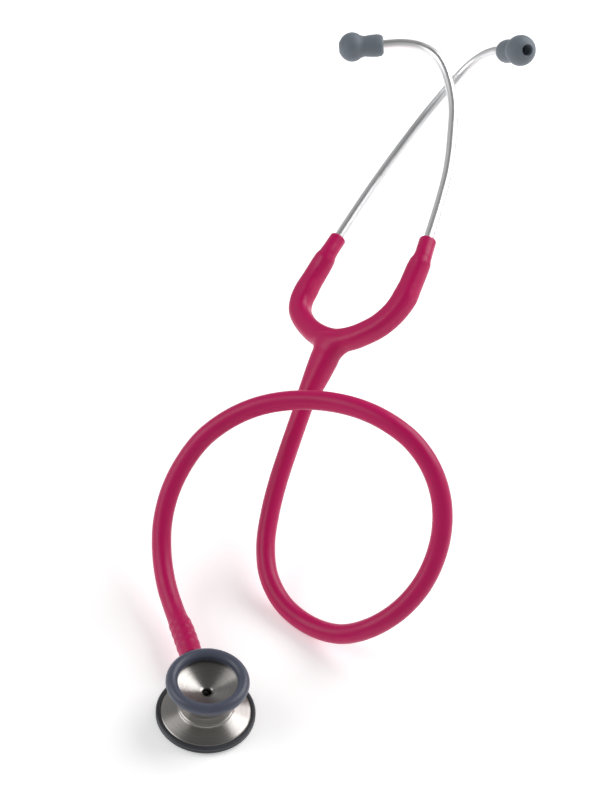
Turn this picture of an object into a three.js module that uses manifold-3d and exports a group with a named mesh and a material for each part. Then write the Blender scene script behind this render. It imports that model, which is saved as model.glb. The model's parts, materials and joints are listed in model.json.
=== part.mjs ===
// A dual-head stethoscope: crossed ear tubes in a Y-shaped yoke, one free tube, and a chestpiece
// with a bell on top and a diaphragm below. Millimetres, +Z up.
//
// The parts are placed in a bench frame: the floor is z = 0 and the chestpiece stands on the
// origin, diaphragm down. The finished group is shifted so that its own origin is the crotch of
// the yoke, which is the place where a finger or a peg holds the stethoscope up.

import * as THREE from 'three';
import Module from 'manifold-3d';
import { mergeVertices } from 'three/addons/utils/BufferGeometryUtils.js';

const wasm = await Module();
wasm.setup();

// ---------------------------------------------------------------- driving dimensions

const GAP = 0.3;                 // running and seating clearance between neighbouring pieces

const TUBING_RADIUS = 4.6;
const TUBING_BORE_RADIUS = 2.4;
const TUBING_SIDES = 8;
const TUBING_STEPS = 68;

const EAR_TUBE_RADIUS = 2.6;
const EAR_TUBE_BORE_RADIUS = 1.8;
const EAR_TUBE_INSERT = 10;      // length of straight ear tube held inside a yoke arm
const EAR_TUBE_TAIL = 7;         // length of straight ear tube held inside an ear tip

const ARM_RADIUS = 5.5;
const NECK_RADIUS = 4.4;
const NECK_LENGTH = 10.5;
const KNUCKLE_RADIUS = 5.6;      // ball end on which an arm bends outwards
const YOKE_BORE_RADIUS = 3;
const KNUCKLE_CUT = 5;           // how far the yoke stops short of a knuckle's centre

const TIP_BALL_RADIUS = 7.7;
const TIP_CUFF_RADIUS = 5.9;

const STEM_HEIGHT = 11.2;        // stem axis above the diaphragm's face
const STEM_ANGLE_DEG = 112;      // direction of the stem, turned from +X about +Z
const TUBING_START = 24;         // where the tubing ends, measured along the stem
const STEM_JOURNAL_RADIUS = 2.4;
const STEM_FLANGE_RADIUS = 2.85;
const STEM_BORE_RADIUS = 1.2;
const HEAD_BORE_RADIUS = STEM_FLANGE_RADIUS + GAP;
const BUSHING_SEAT_RADIUS = 4.2;
const SPOT_FACE_RADIUS = 5;      // flat cut into the head's side, on which the bushing's collar seats
const SPOT_FACE_REACH = 11.6;    // distance of that flat from the head's axis
const BARBS = [29, 33.5, 38];    // where the stem's barbs start, measured along the stem

const RIM_RADIUS = 22;
const PLATE_RADIUS = 20;
const NECK_OF_HEAD_RADIUS = 11.5;
const BELL_RIM_RADIUS = 15.6;
const BELL_RING_HEIGHT = 21.9;
const BELL_RING_SECTION = 2.65;
const PORT_RADIUS = 2.2;

const DETENT_REACH = -2.5;       // position of the detent along the stem
const DETENT_BALL_RADIUS = 0.9;
const DETENT_BALL_LIFT = 0.05;   // the ball runs this far clear of the journal between its two seats
const DETENT_SEAT_DEPTH = 0.3;   // how far the ball drops into a seat
const DETENT_BALL_CENTRE = STEM_JOURNAL_RADIUS + DETENT_BALL_RADIUS + DETENT_BALL_LIFT;

// Headset frame: its origin is midway between the two arm mouths. X runs from the left arm to the
// right arm, Y is the way the ear tips lean, and Z runs up the ear tubes.
const HEADSET_ORIGIN = new THREE.Vector3(59.8, 216.6, 120.2);
const HEADSET_X = new THREE.Vector3(0.78, -0.486, 0.395).normalize();
const HEADSET_Z = new THREE.Vector3(0.311, 0.848, 0.429);

// Crotch of the yoke in the bench frame. It becomes the origin of the finished part.
const CROTCH = new THREE.Vector3(44, 175, 90);

// The tubing's route in the bench frame, from the yoke's stem down, round the loop and over
// to the chestpiece. The last points are added along the stem, so that the tubing meets it squarely.
const TUBING_ROUTE = [
  [29.7, 146.2, 66.4], [27.1, 139, 58.6], [23.7, 129, 47.8], [20.4, 117.9, 36.9], [18.2, 105.9, 26.3],
  [17.8, 92.7, 17.5], [21, 79, 10.6], [29.2, 66.5, 5.9], [41.7, 55.7, 5.2], [56.2, 46.2, 10.9],
  [69, 42.3, 20.8], [80.4, 43.9, 31.3], [89.1, 49.3, 42], [94.4, 56.7, 53.1], [96.3, 64.6, 65.2],
  [94.4, 73, 76.7], [88.7, 81.8, 86.2], [79.6, 90.5, 93], [67.7, 98.5, 96.4], [54.2, 106.4, 96.3],
  [38.5, 113.4, 93.1], [22.4, 117.4, 88.2], [7.6, 118.2, 82.1], [-5.5, 116.5, 74], [-16.8, 111.9, 64.4],
  [-24.8, 105.3, 53.2], [-29.9, 96.4, 42.2], [-31.7, 86, 31.5], [-30.1, 74.2, 22.2], [-26, 61.3, 15.5],
  [-20.4, 48.7, 12],
];

// Centre line of the yoke's fork in the headset frame, from the left knuckle to the right one.
const FORK_ROUTE = [
  [-35.6, 3.6, -30], [-36.2, 4.4, -36.8], [-34.4, 5.1, -43.2], [-28, 6, -50], [-18.2, 6.7, -55.8],
  [-6, 7.1, -58.9], [3, 6.9, -57.6], [10.5, 6.5, -54.4], [18.2, 5.9, -49.2], [23.8, 5.1, -42],
  [26.6, 4.2, -35.2], [27.5, 3.5, -29.4],
];

// Each arm bends a little to its own side between the knuckle and the straight neck.
const ARM_BEND = {
  left: [-33.2, 2.3, -19],
  right: [28.3, 2, -18],
};

// Mouth of each arm, and how the ear tube in it is swivelled and pitched, in degrees.
const MOUTH = {
  left: { place: [-28.25, 0, 0.7], pitch: -1.8, swivel: 3.6 },
  right: { place: [28.25, 0, -0.7], pitch: 1.9, swivel: 3.6 },
};

// Centre line of the right ear tube from its arm's mouth. The left one is its mirror image.
const EAR_TUBE_ROUTE = [
  [0, 0, 0], [-2.5, 0, 21.8], [-5.9, -0.3, 43.4], [-11.3, -1.8, 64.8], [-18.1, -3.9, 85.8],
  [-28.8, -8.5, 104.9], [-35.7, -11.9, 111.7], [-43.6, -15.6, 114.4], [-52.4, -19.6, 113.4],
  [-63.9, -24.5, 108.3],
];

// ---------------------------------------------------------------- materials

const crimsonVinyl = new THREE.MeshStandardMaterial({ color: 0xb3174b, roughness: 0.42, metalness: 0 });
const chrome = new THREE.MeshStandardMaterial({ color: 0xd8dadc, roughness: 0.12, metalness: 1 });
const brushedSteel = new THREE.MeshStandardMaterial({ color: 0xb9b2ab, roughness: 0.35, metalness: 1 });
const springSteel = new THREE.MeshStandardMaterial({ color: 0x8d9196, roughness: 0.3, metalness: 1 });
const brass = new THREE.MeshStandardMaterial({ color: 0xb98d4a, roughness: 0.3, metalness: 1 });
const greySilicone = new THREE.MeshStandardMaterial({ color: 0x66727c, roughness: 0.6, metalness: 0 });
const slateRubber = new THREE.MeshStandardMaterial({ color: 0x3a424e, roughness: 0.5, metalness: 0 });
const resinSheet = new THREE.MeshStandardMaterial({ color: 0xc9c4b6, roughness: 0.35, metalness: 0 });

// ---------------------------------------------------------------- shaping helpers

const vector = ([x, y, z]) => new THREE.Vector3(x, y, z);

/** Turn a closed three.js geometry into a solid that can be joined and cut. */
function toSolid(geometry) {
  const bare = geometry.index ? geometry.toNonIndexed() : geometry.clone();
  bare.deleteAttribute('normal');
  bare.deleteAttribute('uv');
  const merged = mergeVertices(bare, 1e-4);
  return new wasm.Manifold(new wasm.Mesh({
    numProp: 3,
    vertProperties: new Float32Array(merged.attributes.position.array),
    triVerts: new Uint32Array(merged.index.array),
  }));
}

/** Turn a solid back into a three.js geometry. */
function toGeometry(solid) {
  const result = solid.getMesh();
  const geometry = new THREE.BufferGeometry();
  geometry.setAttribute('position', new THREE.BufferAttribute(result.vertProperties, 3));
  geometry.setIndex(new THREE.BufferAttribute(result.triVerts, 1));
  geometry.computeVertexNormals();
  return geometry;
}

/** Join the first geometries and cut the others away. */
function shape(joined, cuts = []) {
  let solid = toSolid(joined[0]);
  for (const piece of joined.slice(1)) {
    solid = solid.add(toSolid(piece));
  }
  for (const piece of cuts) {
    solid = solid.subtract(toSolid(piece));
  }
  return toGeometry(solid);
}

/** Revolve a profile of [radius, height] points about +Z. The profile runs anticlockwise. */
function revolve(profile, sides = 32) {
  const geometry = new THREE.LatheGeometry(profile.map(([r, z]) => new THREE.Vector2(r, z)), sides);
  return geometry.rotateX(Math.PI / 2);
}

/** A plain round bar along Z from one height to another. */
function bar(radius, from, to, sides = 24) {
  const geometry = new THREE.CylinderGeometry(radius, radius, to - from, sides);
  return geometry.rotateX(Math.PI / 2).translate(0, 0, (from + to) / 2);
}

/** A smooth curve through points. */
function curveThrough(points) {
  return new THREE.CatmullRomCurve3(points, false, 'centripetal');
}

/** Extrude a round section, with a bore if a bore radius is given, along a curve. */
function pipe(curve, radius, boreRadius, steps, sides) {
  const section = new THREE.Shape().absarc(0, 0, radius, 0, 2 * Math.PI, false);
  if (boreRadius > 0) {
    section.holes.push(new THREE.Path().absarc(0, 0, boreRadius, 0, 2 * Math.PI, true));
  }
  return new THREE.ExtrudeGeometry(section, { steps, curveSegments: sides / 2, extrudePath: curve });
}

/** A matrix that puts local Z along a direction, with local X as near as can be to a side vector. */
function frameAlong(origin, direction, side) {
  const z = direction.clone().normalize();
  const x = side.clone().addScaledVector(z, -side.dot(z)).normalize();
  const y = new THREE.Vector3().crossVectors(z, x);
  return new THREE.Matrix4().makeBasis(x, y, z).setPosition(origin);
}

function named(name, geometry, material) {
  const mesh = new THREE.Mesh(geometry, material);
  mesh.name = name;
  return mesh;
}

function groupAt(matrix, meshes) {
  const group = new THREE.Group();
  group.applyMatrix4(matrix);
  group.add(...meshes);
  return group;
}

// ---------------------------------------------------------------- frames

const headsetMatrix = frameAlong(HEADSET_ORIGIN, HEADSET_Z, HEADSET_X);
const benchToHeadset = headsetMatrix.clone().invert();

const stemAngle = THREE.MathUtils.degToRad(STEM_ANGLE_DEG);
const stemDirection = new THREE.Vector3(Math.cos(stemAngle), Math.sin(stemAngle), 0);
const stemMatrix = frameAlong(
  new THREE.Vector3(0, 0, STEM_HEIGHT), stemDirection, new THREE.Vector3(0, 0, 1));

/** Matrix of a mouth in the headset frame: local Z runs up along the ear tube. */
function mouthMatrix(side) {
  const { place, pitch, swivel } = MOUTH[side];
  const turn = new THREE.Matrix4().makeRotationX(THREE.MathUtils.degToRad(pitch));
  const twist = new THREE.Matrix4().makeRotationZ(THREE.MathUtils.degToRad(swivel));
  return turn.multiply(twist).setPosition(vector(place));
}

/** The ear tube's route in its mouth frame; the left one is mirrored. */
function earTubePoints(side) {
  const mirror = side === 'left' ? -1 : 1;
  return EAR_TUBE_ROUTE.map(([x, y, z]) => new THREE.Vector3(mirror * x, y, z));
}

/** Direction in which an ear tube leaves its mouth, in the mouth frame. */
function rootDirection(side) {
  return curveThrough(earTubePoints(side)).getTangent(0);
}

/** The point on an ear tube's straight root, this far up from the mouth, in the headset frame. */
function rootPoint(side, distance) {
  return rootDirection(side).multiplyScalar(distance).applyMatrix4(mouthMatrix(side));
}

// ---------------------------------------------------------------- headset

/** The forked moulding: a U with a tapered stem below it, bored through for the sound. */
function yoke() {
  const fork = curveThrough(FORK_ROUTE.map(vector));
  const stemTop = vector([-7, 7.1, -58.8]);
  const stemEnd = vector(TUBING_ROUTE[0]).applyMatrix4(benchToHeadset);
  const along = stemEnd.clone().sub(stemTop);
  const length = along.length() + 1;
  const taper = revolve([
    [0, -3], [6.2, -3], [7.6, 2], [7.1, 10], [5.9, 20], [TUBING_RADIUS, length], [0, length],
  ], 16);
  const placed = frameAlong(stemTop, along, new THREE.Vector3(1, 0, 0));
  const downTubing = tubingCurve().getTangent(0).transformDirection(benchToHeadset);
  const faceToTubing = frameAlong(stemEnd, downTubing, new THREE.Vector3(1, 0, 0));
  const cuts = [
    pipe(fork, YOKE_BORE_RADIUS, 0, 24, 8),
    bar(TUBING_BORE_RADIUS, 0, length + 1, 12).applyMatrix4(placed),
    bar(8, -GAP, 6, 16).applyMatrix4(faceToTubing),
  ];
  for (const end of [0, FORK_ROUTE.length - 1]) {
    const centre = vector(FORK_ROUTE[end]);
    const outwards = fork.getTangent(end === 0 ? 0 : 1).multiplyScalar(end === 0 ? -1 : 1);
    const clear = bar(9, -KNUCKLE_CUT, 6, 16);
    cuts.push(clear.applyMatrix4(frameAlong(centre, outwards, new THREE.Vector3(0, 1, 0))));
    cuts.push(new THREE.SphereGeometry(KNUCKLE_RADIUS + 2 * GAP, 14, 8).translate(...centre));
  }
  return shape([pipe(fork, ARM_RADIUS, 0, 24, 12), taper.applyMatrix4(placed)], cuts);
}

/** One arm: a ball knuckle, a bent length, and a slim neck with a rounded mouth. */
function yokeArm(side) {
  const knuckle = vector(side === 'left' ? FORK_ROUTE[0] : FORK_ROUTE[FORK_ROUTE.length - 1]);
  const upwards = rootDirection(side).transformDirection(mouthMatrix(side));
  const placed = frameAlong(rootPoint(side, 0), upwards, new THREE.Vector3(1, 0, 0));
  const neckFoot = rootPoint(side, -NECK_LENGTH + 0.5);
  const bend = vector(ARM_BEND[side]);
  const outer = curveThrough([knuckle, bend, neckFoot]);
  const neck = revolve([
    [0, -NECK_LENGTH], [ARM_RADIUS - 0.4, -NECK_LENGTH], [NECK_RADIUS, -NECK_LENGTH + 3],
    [NECK_RADIUS, -1.2], [NECK_RADIUS - 0.4, -0.3], [NECK_RADIUS - 1, 0], [0, 0],
  ], 20);
  const seat = bar(3.7, -NECK_LENGTH - 0.5, -3, 14).applyMatrix4(placed);
  const lip = bar(EAR_TUBE_RADIUS + GAP, -4, 1, 16).applyMatrix4(placed);
  const passage = pipe(curveThrough([knuckle, bend, rootPoint(side, -NECK_LENGTH)]), YOKE_BORE_RADIUS, 0, 7, 8);
  const below = knuckle.clone().sub(bend).setLength(8).add(knuckle);
  const opening = pipe(curveThrough([below, knuckle, bend]), YOKE_BORE_RADIUS, 0, 4, 8);
  return shape(
    [
      new THREE.SphereGeometry(KNUCKLE_RADIUS, 14, 8).translate(...knuckle),
      pipe(outer, ARM_RADIUS - 0.1, 0, 7, 12),
      neck.applyMatrix4(placed),
    ],
    [seat, lip, passage, opening],
  );
}

/** Flat steel strip bent round inside the fork. It pulls the two ear tubes together. */
function leafSpring() {
  const fork = curveThrough(FORK_ROUTE.map(vector));
  const inner = [];
  for (let step = 0; step <= 10; step += 1) {
    inner.push(fork.getPointAt(0.085 + 0.083 * step));
  }
  const strip = new THREE.Shape([
    new THREE.Vector2(-1.8, -0.35), new THREE.Vector2(1.8, -0.35),
    new THREE.Vector2(1.8, 0.35), new THREE.Vector2(-1.8, 0.35),
  ]);
  return new THREE.ExtrudeGeometry(strip, { steps: 32, extrudePath: curveThrough(inner) });
}

/** Crimped sleeve that ends the ear tube's root inside the arm. */
function springFerrule(side) {
  const placed = frameAlong(new THREE.Vector3(), rootDirection(side), new THREE.Vector3(1, 0, 0));
  const inner = EAR_TUBE_RADIUS + GAP;
  return revolve([
    [inner, -9.5], [3.1, -9.5], [3.4, -9.1], [3.4, -7.6], [3.15, -7.2], [3.15, -6.4], [3.4, -6],
    [3.4, -4.4], [3.1, -4], [inner, -4], [inner, -9.5],
  ], 16).applyMatrix4(placed);
}

/** Chromed steel tube, straight in the arm, bent gently and then sharply towards the ear. */
function earTube(side) {
  const points = earTubePoints(side);
  const down = rootDirection(side).negate();
  const roots = [EAR_TUBE_INSERT, EAR_TUBE_INSERT / 2].map((d) => down.clone().multiplyScalar(d));
  const tail = tipDirection(side);
  const last = points[points.length - 1];
  const ends = [EAR_TUBE_TAIL / 2, EAR_TUBE_TAIL].map((d) => last.clone().addScaledVector(tail, d));
  const route = curveThrough([...roots, ...points, ...ends]);
  return pipe(route, EAR_TUBE_RADIUS, EAR_TUBE_BORE_RADIUS, 36, 8);
}

/** Direction in which an ear tube ends, in its mouth frame. */
function tipDirection(side) {
  return curveThrough(earTubePoints(side)).getTangent(1);
}

/** Matrix of the ear tube's end in its mouth frame: local Z points into the ear. */
function tipMatrix(side) {
  const points = earTubePoints(side);
  return frameAlong(points[points.length - 1], tipDirection(side), new THREE.Vector3(0, 1, 0));
}

/** Barbed sleeve pressed on the ear tube's end, over which the soft tip snaps. */
function tipNipple(side) {
  const inner = EAR_TUBE_RADIUS + GAP;
  return revolve([
    [inner, 1], [3.4, 1], [3.4, 2.4], [3.95, 2.6], [3.5, 4.6], [3.3, 4.6], [3.3, 6.6], [inner, 6.6], [inner, 1],
  ], 16).applyMatrix4(tipMatrix(side));
}

/** Soft mushroom-shaped ear tip with a cuff, a seat for the nipple and a flared sound hole. */
function earTip(side) {
  const lip = EAR_TUBE_RADIUS + GAP;
  const ball = [];
  for (let step = 0; step <= 5; step += 1) {
    const angle = THREE.MathUtils.degToRad(-46 + step * 22);
    ball.push([TIP_BALL_RADIUS * Math.cos(angle), 14.3 + 7.2 * Math.sin(angle)]);
  }
  return revolve([
    [lip, -2.5], [4.6, -2.5], [5.6, -1.8], [TIP_CUFF_RADIUS, -0.4], [TIP_CUFF_RADIUS, 4], [5.6, 6.6], [5.3, 8.6],
    ...ball, [2.8, 21.2], [1.9, 19.4], [1.6, 17], [1.6, 8.4], [4.25, 7.6], [4.25, 0.4], [lip, 0], [lip, -2.5],
  ], 18).applyMatrix4(tipMatrix(side));
}

// ---------------------------------------------------------------- tubing

/** Centre line of the tubing in the bench frame. Its last stretch is straight, over the stem. */
function tubingCurve() {
  const stemPoint = (distance) => new THREE.Vector3(0, 0, distance).applyMatrix4(stemMatrix);
  return curveThrough([...TUBING_ROUTE.map(vector), ...[40, 32, TUBING_START].map(stemPoint)]);
}

/** The free tube, open at both ends. */
function tubing() {
  return pipe(tubingCurve(), TUBING_RADIUS, TUBING_BORE_RADIUS, TUBING_STEPS, TUBING_SIDES);
}

// ---------------------------------------------------------------- chestpiece, in the stem frame

/** Hollow stem: a journal with a side port inside the head, and a barbed end for the tubing. */
function stem() {
  const outer = [
    [0, -5.2], [STEM_JOURNAL_RADIUS, -5.2], [STEM_JOURNAL_RADIUS, 2], [2.05, 2.1], [2.05, 3.1],
    [STEM_FLANGE_RADIUS, 3.2], [STEM_FLANGE_RADIUS, 4.6], [STEM_JOURNAL_RADIUS, 4.6],
    [STEM_JOURNAL_RADIUS, 13.6], [3.3, 14], [3.6, 14.6], [3.6, 20], [3.2, 23.4], [1.9, 23.7],
  ];
  for (const barb of BARBS) {
    outer.push([1.65, barb], [1.95, barb + 0.4], [1.65, barb + 3]);
  }
  outer.push([1.5, 44.5], [0, 44.5]);
  const port = bar(PORT_RADIUS - 0.9, 0, 4, 12).rotateY(Math.PI / 2);
  return shape([revolve(outer, 16)], [bar(STEM_BORE_RADIUS, -2.2, 46, 8), port, ...detentSeats()]);
}

/** Two small hollows on opposite sides of the journal: the ball drops in with either side in use. */
function detentSeats() {
  const reach = DETENT_BALL_CENTRE - DETENT_SEAT_DEPTH;
  return [reach, -reach].map((y) => (
    new THREE.SphereGeometry(DETENT_BALL_RADIUS + GAP, 10, 6).translate(0, y, DETENT_REACH)));
}

/** Flanged bush screwed into the head. It traps the stem's flange and lets the head turn. */
function stemBushing() {
  const inner = STEM_JOURNAL_RADIUS + GAP;
  const outer = BUSHING_SEAT_RADIUS - GAP;
  return revolve([
    [inner, 4.9], [outer, 4.9], [outer, 12], [4.6, 12], [4.6, 13], [4.3, 13.3], [inner, 13.3], [inner, 4.9],
  ], 18);
}

/** Rubber ring in the stem's groove that keeps the joint airtight. */
function oRing() {
  const section = 0.34;
  const profile = [];
  for (let step = 0; step <= 8; step += 1) {
    const angle = (step / 8) * 2 * Math.PI;
    profile.push([2.7 + section * Math.cos(angle), 2.6 + section * Math.sin(angle)]);
  }
  profile[8] = [...profile[0]];
  return revolve(profile, 16);
}

/** Detent pieces stand in a cross hole whose axis runs away from the stem along local -Y. */
function acrossHead(geometry) {
  return geometry.rotateX(Math.PI / 2).translate(0, 0, DETENT_REACH);
}

function detentBall() {
  const ball = new THREE.SphereGeometry(DETENT_BALL_RADIUS, 12, 8);
  return acrossHead(ball.translate(0, 0, DETENT_BALL_CENTRE));
}

/** Small coil spring behind the detent ball. */
function detentSpring() {
  const turns = 4.5;
  const stepsPerTurn = 10;
  const points = [];
  for (let step = 0; step <= turns * stepsPerTurn; step += 1) {
    const angle = (step / stepsPerTurn) * 2 * Math.PI;
    points.push(new THREE.Vector3(0.72 * Math.cos(angle), 0.72 * Math.sin(angle), 4.95 + 0.062 * step));
  }
  return acrossHead(pipe(curveThrough(points), 0.2, 0, turns * stepsPerTurn, 6));
}

/** Slotted grub screw that closes the detent's hole. */
function detentScrew() {
  const slot = new THREE.BoxGeometry(0.5, 3, 0.8).translate(0, 0, 11.1);
  return acrossHead(shape([bar(1.05, 8.4, 11, 16)], [slot]));
}

/** Cutters for everything that enters the head from the side, in the bench frame. */
function sideCuts() {
  const cuts = [
    bar(HEAD_BORE_RADIUS, -5.6, 6, 16),
    bar(BUSHING_SEAT_RADIUS, 4.6, 14, 18),
    bar(SPOT_FACE_RADIUS, SPOT_FACE_REACH, PLATE_RADIUS, 24),
    acrossHead(bar(1.35, 1, 16, 12)),
  ];
  return cuts.map((cut) => cut.applyMatrix4(stemMatrix));
}

// ---------------------------------------------------------------- chestpiece, in the bench frame

/** Machined head: a cupped plate below, a flared neck, and a shallow bell bowl above. */
function chestpieceBody() {
  const bowl = [];
  for (let step = 1; step <= 5; step += 1) {
    const reach = 1 - step / 5;
    bowl.push([PORT_RADIUS + (14.3 - PORT_RADIUS) * reach, 15.4 + 3.6 * Math.pow(reach, 1.35)]);
  }
  const profile = [
    [0, 4.6], [3, 4.6], [17.5, 1.9], [17.9, 1.3], [PLATE_RADIUS, 1.3], [PLATE_RADIUS, 2.9], [19.6, 3.3],
    [12.6, 5.6], [12.3, 6.1], [NECK_OF_HEAD_RADIUS, 6.3], [11.7, 11], [12.4, 14], [14, 17.2],
    [BELL_RIM_RADIUS + 0.6, 18.6], [BELL_RIM_RADIUS + 0.6, 22], [BELL_RIM_RADIUS - 0.6, 22],
    [BELL_RIM_RADIUS - 0.6, 19.2], ...bowl, [0, 15.4],
  ];
  const port = bar(PORT_RADIUS, 3, 18, 16);
  return shape([revolve(profile, 36)], [port, ...sideCuts()]);
}

/** Rubber ring that grips the bell's lip, so that the metal doesn't chill the skin. */
function bellRing() {
  const slotInner = BELL_RIM_RADIUS - 0.6 - GAP;
  const slotOuter = BELL_RIM_RADIUS + 0.6 + GAP;
  const profile = [[slotOuter, 22 + GAP], [slotInner, 22 + GAP]];
  const halfSlot = Math.asin((slotOuter - BELL_RIM_RADIUS) / BELL_RING_SECTION);
  const sweep = 2 * Math.PI - 2 * halfSlot;
  const arc = [];
  for (let step = 0; step <= 9; step += 1) {
    const angle = -Math.PI / 2 + halfSlot + (sweep * step) / 9;
    arc.push([
      BELL_RIM_RADIUS + BELL_RING_SECTION * Math.cos(angle),
      BELL_RING_HEIGHT + BELL_RING_SECTION * Math.sin(angle),
    ]);
  }
  return revolve([...arc, ...profile.reverse(), arc[0]], 32);
}

/** Stiff resin disc that rests on the skin. */
function diaphragm() {
  return revolve([[0, 0], [18.9, 0], [19.1, 0.1], [19.1, 0.35], [0, 0.35]], 36);
}

/** Snap-on rim that holds the diaphragm's edge to the plate. */
function diaphragmRim() {
  return revolve([
    [PLATE_RADIUS - 0.55, 0.1], [21.4, 0.1], [RIM_RADIUS, 0.7], [RIM_RADIUS, 2.7], [21.5, 3.3],
    [PLATE_RADIUS + GAP, 3.3], [PLATE_RADIUS + GAP, 1], [PLATE_RADIUS - 0.55, 1], [PLATE_RADIUS - 0.55, 0.1],
  ], 36);
}

// ---------------------------------------------------------------- assembly

function earTubeGroup(side) {
  return groupAt(mouthMatrix(side), [
    named(`ear_tube_${side}`, earTube(side), chrome),
    named(`spring_ferrule_${side}`, springFerrule(side), brass),
    named(`tip_nipple_${side}`, tipNipple(side), brass),
    named(`ear_tip_${side}`, earTip(side), greySilicone),
  ]);
}

const headset = groupAt(headsetMatrix, [
  named('yoke', yoke(), crimsonVinyl),
  named('yoke_arm_left', yokeArm('left'), crimsonVinyl),
  named('yoke_arm_right', yokeArm('right'), crimsonVinyl),
  named('leaf_spring', leafSpring(), springSteel),
  earTubeGroup('left'),
  earTubeGroup('right'),
]);

const stemGroup = groupAt(stemMatrix, [
  named('stem', stem(), brushedSteel),
  named('stem_bushing', stemBushing(), brass),
  named('stem_o_ring', oRing(), slateRubber),
  named('detent_ball', detentBall(), springSteel),
  named('detent_spring', detentSpring(), springSteel),
  named('detent_screw', detentScrew(), springSteel),
]);

const chestpiece = new THREE.Group();
chestpiece.add(
  named('chestpiece_body', chestpieceBody(), brushedSteel),
  named('bell_ring', bellRing(), slateRubber),
  named('diaphragm', diaphragm(), resinSheet),
  named('diaphragm_rim', diaphragmRim(), slateRubber),
);

const stethoscope = new THREE.Group();
stethoscope.add(headset, named('tubing', tubing(), crimsonVinyl), stemGroup, chestpiece);
stethoscope.position.copy(CROTCH).negate();

export default stethoscope;
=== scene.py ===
"""A dual-head stethoscope standing on a pale studio floor.

Places are in metres in the row frame. Profiles and the headset's own points are in millimetres.
Every surface of revolution and every tube comes from one helper, spin(), which carries a
profile of (distance along a line, radius) round that line. The yoke is a formula for its
surface, which a mesh is settled onto.
"""

import json
import math

import bmesh
import bpy
import numpy as np
from mathutils import Matrix, Vector


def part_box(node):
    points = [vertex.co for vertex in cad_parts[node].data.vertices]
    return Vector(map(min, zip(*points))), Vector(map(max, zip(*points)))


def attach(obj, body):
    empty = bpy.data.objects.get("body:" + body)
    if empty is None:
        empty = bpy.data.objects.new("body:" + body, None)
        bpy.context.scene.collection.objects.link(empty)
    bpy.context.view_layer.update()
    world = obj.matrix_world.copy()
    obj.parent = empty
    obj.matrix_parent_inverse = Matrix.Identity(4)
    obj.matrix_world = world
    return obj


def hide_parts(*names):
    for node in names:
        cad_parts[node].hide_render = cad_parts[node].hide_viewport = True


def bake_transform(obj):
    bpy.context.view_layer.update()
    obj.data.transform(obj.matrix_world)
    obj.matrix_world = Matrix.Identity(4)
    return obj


MM = 0.001

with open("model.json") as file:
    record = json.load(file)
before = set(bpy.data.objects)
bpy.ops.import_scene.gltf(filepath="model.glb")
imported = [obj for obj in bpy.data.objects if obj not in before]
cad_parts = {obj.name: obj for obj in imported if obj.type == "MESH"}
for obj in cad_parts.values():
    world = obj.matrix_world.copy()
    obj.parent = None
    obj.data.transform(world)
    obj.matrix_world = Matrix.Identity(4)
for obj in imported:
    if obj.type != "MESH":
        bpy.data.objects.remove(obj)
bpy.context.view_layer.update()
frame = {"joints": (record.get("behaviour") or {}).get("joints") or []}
joints = {joint["name"]: joint for joint in frame["joints"]}


def joint_place(name):
    return np.array(joints[name]["pos_m"], float)


def joint_axis(name):
    axis = np.array(joints[name]["axis"], float)
    return axis / np.linalg.norm(axis)


def unit(vector):
    vector = np.asarray(vector, float)
    return vector / np.linalg.norm(vector)


# ---------------------------------------------------------------- frames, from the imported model

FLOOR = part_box("diaphragm")[0].z

STEM_PLACE = joint_place("chestpiece_swivel")
STEM_AXIS = joint_axis("chestpiece_swivel")
HEAD_FOOT = np.array([STEM_PLACE[0], STEM_PLACE[1], FLOOR])
UP = np.array([0.0, 0.0, 1.0])
STEM_SIDE = np.cross(STEM_AXIS, UP)
DETENT_OUT = joint_axis("detent_ball_drop") * -1   # the way out along the detent's cross hole

# Headset frame: X from the left arm to the right arm, Y the way the ear tips lean, Z up the tubes.
HEADSET_PLACE = np.array([0.0158, 0.0416, 0.0302])
HEADSET_Z = unit([0.3110208, 0.8480568, 0.4290287])
HEADSET_X = unit(np.cross([0.5433217, 0.2117235, -0.8123882], HEADSET_Z))
HEADSET_Y = np.cross(HEADSET_Z, HEADSET_X)


def headset(point_mm):
    """A point of the headset frame, in millimetres, as a place in the row frame."""
    x, y, z = np.asarray(point_mm, float) * MM
    return HEADSET_PLACE + x * HEADSET_X + y * HEADSET_Y + z * HEADSET_Z


# ---------------------------------------------------------------- camera

CAMERA_PLACE = (-0.01704, -0.60987, 0.42906)
CAMERA_ELEVATION = math.radians(37.9)
CAMERA_ROLL = math.radians(6.0)
SENSOR = 36.0                    # width in millimetres
LENS = 67.5                      # focal length in millimetres


def make_camera():
    """The photographed view: from the front and above, with a slight roll."""
    data = bpy.data.cameras.new("camera")
    data.sensor_width = SENSOR
    data.lens = LENS
    camera = bpy.data.objects.new("camera", data)
    bpy.context.scene.collection.objects.link(camera)
    sin_e, cos_e = math.sin(CAMERA_ELEVATION), math.cos(CAMERA_ELEVATION)
    sin_r, cos_r = math.sin(CAMERA_ROLL), math.cos(CAMERA_ROLL)
    right = Vector((cos_r, sin_r * sin_e, sin_r * cos_e))
    up = Vector((-sin_r, cos_r * sin_e, cos_r * cos_e))
    back = Vector((0, -cos_e, sin_e))
    turn = Matrix((right, up, back)).transposed().to_4x4()
    camera.matrix_world = Matrix.Translation(CAMERA_PLACE) @ turn
    bpy.context.scene.camera = camera


make_camera()

# ---------------------------------------------------------------- lines and profiles

SKEW = np.array([0.31, 0.17, 0.94])   # a direction that no line here starts along
FILLET_SHARE = 0.42              # the most of an edge that one rounded corner may take
FILLET_LEAD = 1.12               # where the flat stops, just ahead of the rounding


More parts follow.
